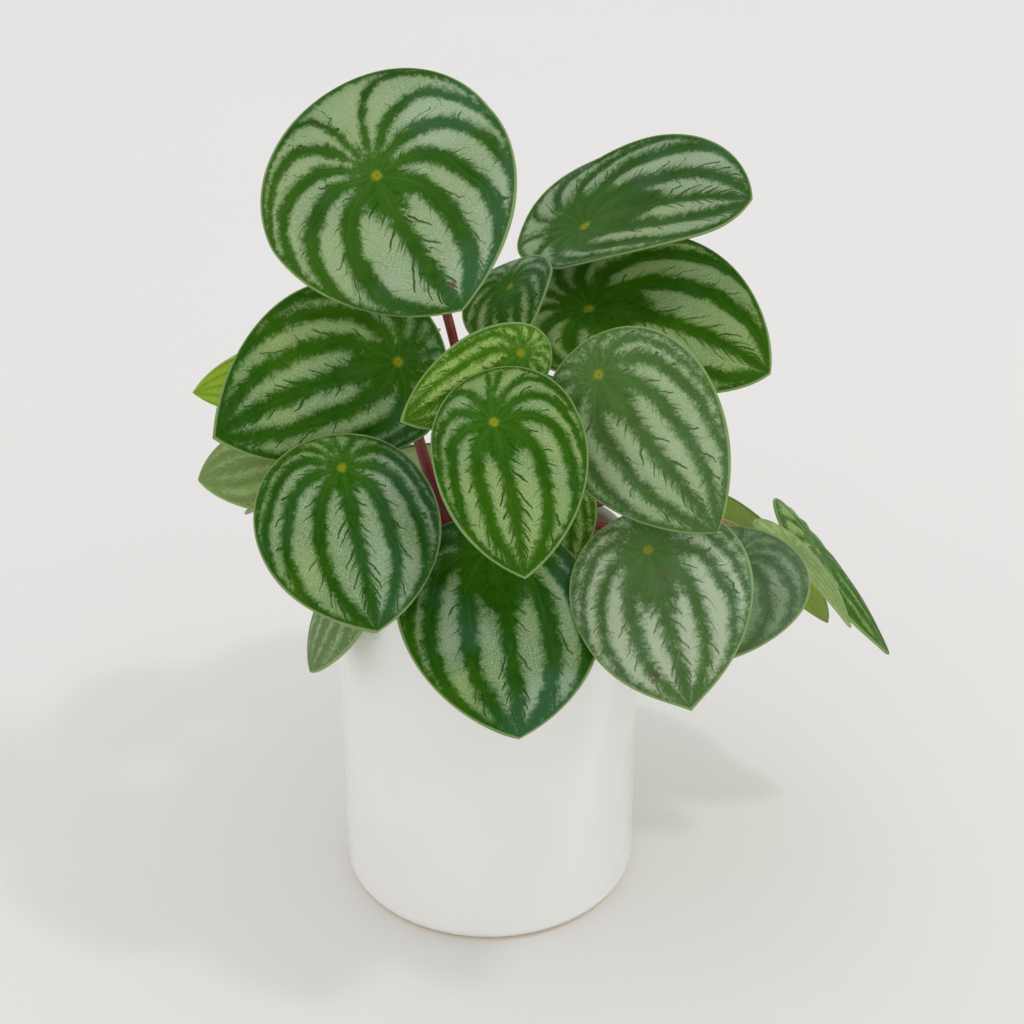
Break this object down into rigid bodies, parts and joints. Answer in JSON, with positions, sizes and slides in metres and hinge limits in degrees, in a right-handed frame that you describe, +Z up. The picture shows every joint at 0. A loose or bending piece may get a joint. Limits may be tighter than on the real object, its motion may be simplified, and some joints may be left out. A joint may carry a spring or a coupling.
{
  "type": "potted peperomia",
  "caption": "Watermelon peperomia with striped shield-shaped leaves on red stalks in a plain white glazed cylinder pot.",
  "frame": {"origin": "middle of the pot's foot, on the surface that the pot stands on", "axes": "+Z up the pot, -Y is the front that the picture shows, +X to the right as seen from the front"},
  "size_m": [0.2785, 0.2479, 0.3412],
  "materials": {
    "glaze": "glossy white glaze",
    "soil": "matt, moist potting mix",
    "crown": "matt, short brown-red stem",
    "petiole": "satin dark red stalk",
    "leaf": "satin, silver stripes between dark green veins"
  },
  "bodies": {
    "root": {"pot": "glaze", "soil": "soil", "crown": "crown", "petiole_01": "petiole", "petiole_02": "petiole", "petiole_03": "petiole", "petiole_04": "petiole", "petiole_05": "petiole", "petiole_06": "petiole", "petiole_07": "petiole", "petiole_08": "petiole", "petiole_09": "petiole", "petiole_10": "petiole", "petiole_11": "petiole", "petiole_12": "petiole", "petiole_13": "petiole", "petiole_14": "petiole", "petiole_15": "petiole", "petiole_16": "petiole", "petiole_17": "petiole", "petiole_18": "petiole", "petiole_19": "petiole", "petiole_20": "petiole", "petiole_21": "petiole", "petiole_22": "petiole", "petiole_23": "petiole", "petiole_24": "petiole", "petiole_25": "petiole", "leaf_01": "leaf", "leaf_02": "leaf", "leaf_03": "leaf", "leaf_04": "leaf", "leaf_05": "leaf", "leaf_06": "leaf", "leaf_07": "leaf", "leaf_08": "leaf", "leaf_09": "leaf", "leaf_10": "leaf", "leaf_11": "leaf", "leaf_12": "leaf", "leaf_13": "leaf", "leaf_14": "leaf", "leaf_15": "leaf", "leaf_16": "leaf", "leaf_17": "leaf", "leaf_18": "leaf", "leaf_19": "leaf", "leaf_20": "leaf", "leaf_21": "leaf", "leaf_22": "leaf", "leaf_23": "leaf", "leaf_24": "leaf", "leaf_25": "leaf"}
  },
  "joints": []
}
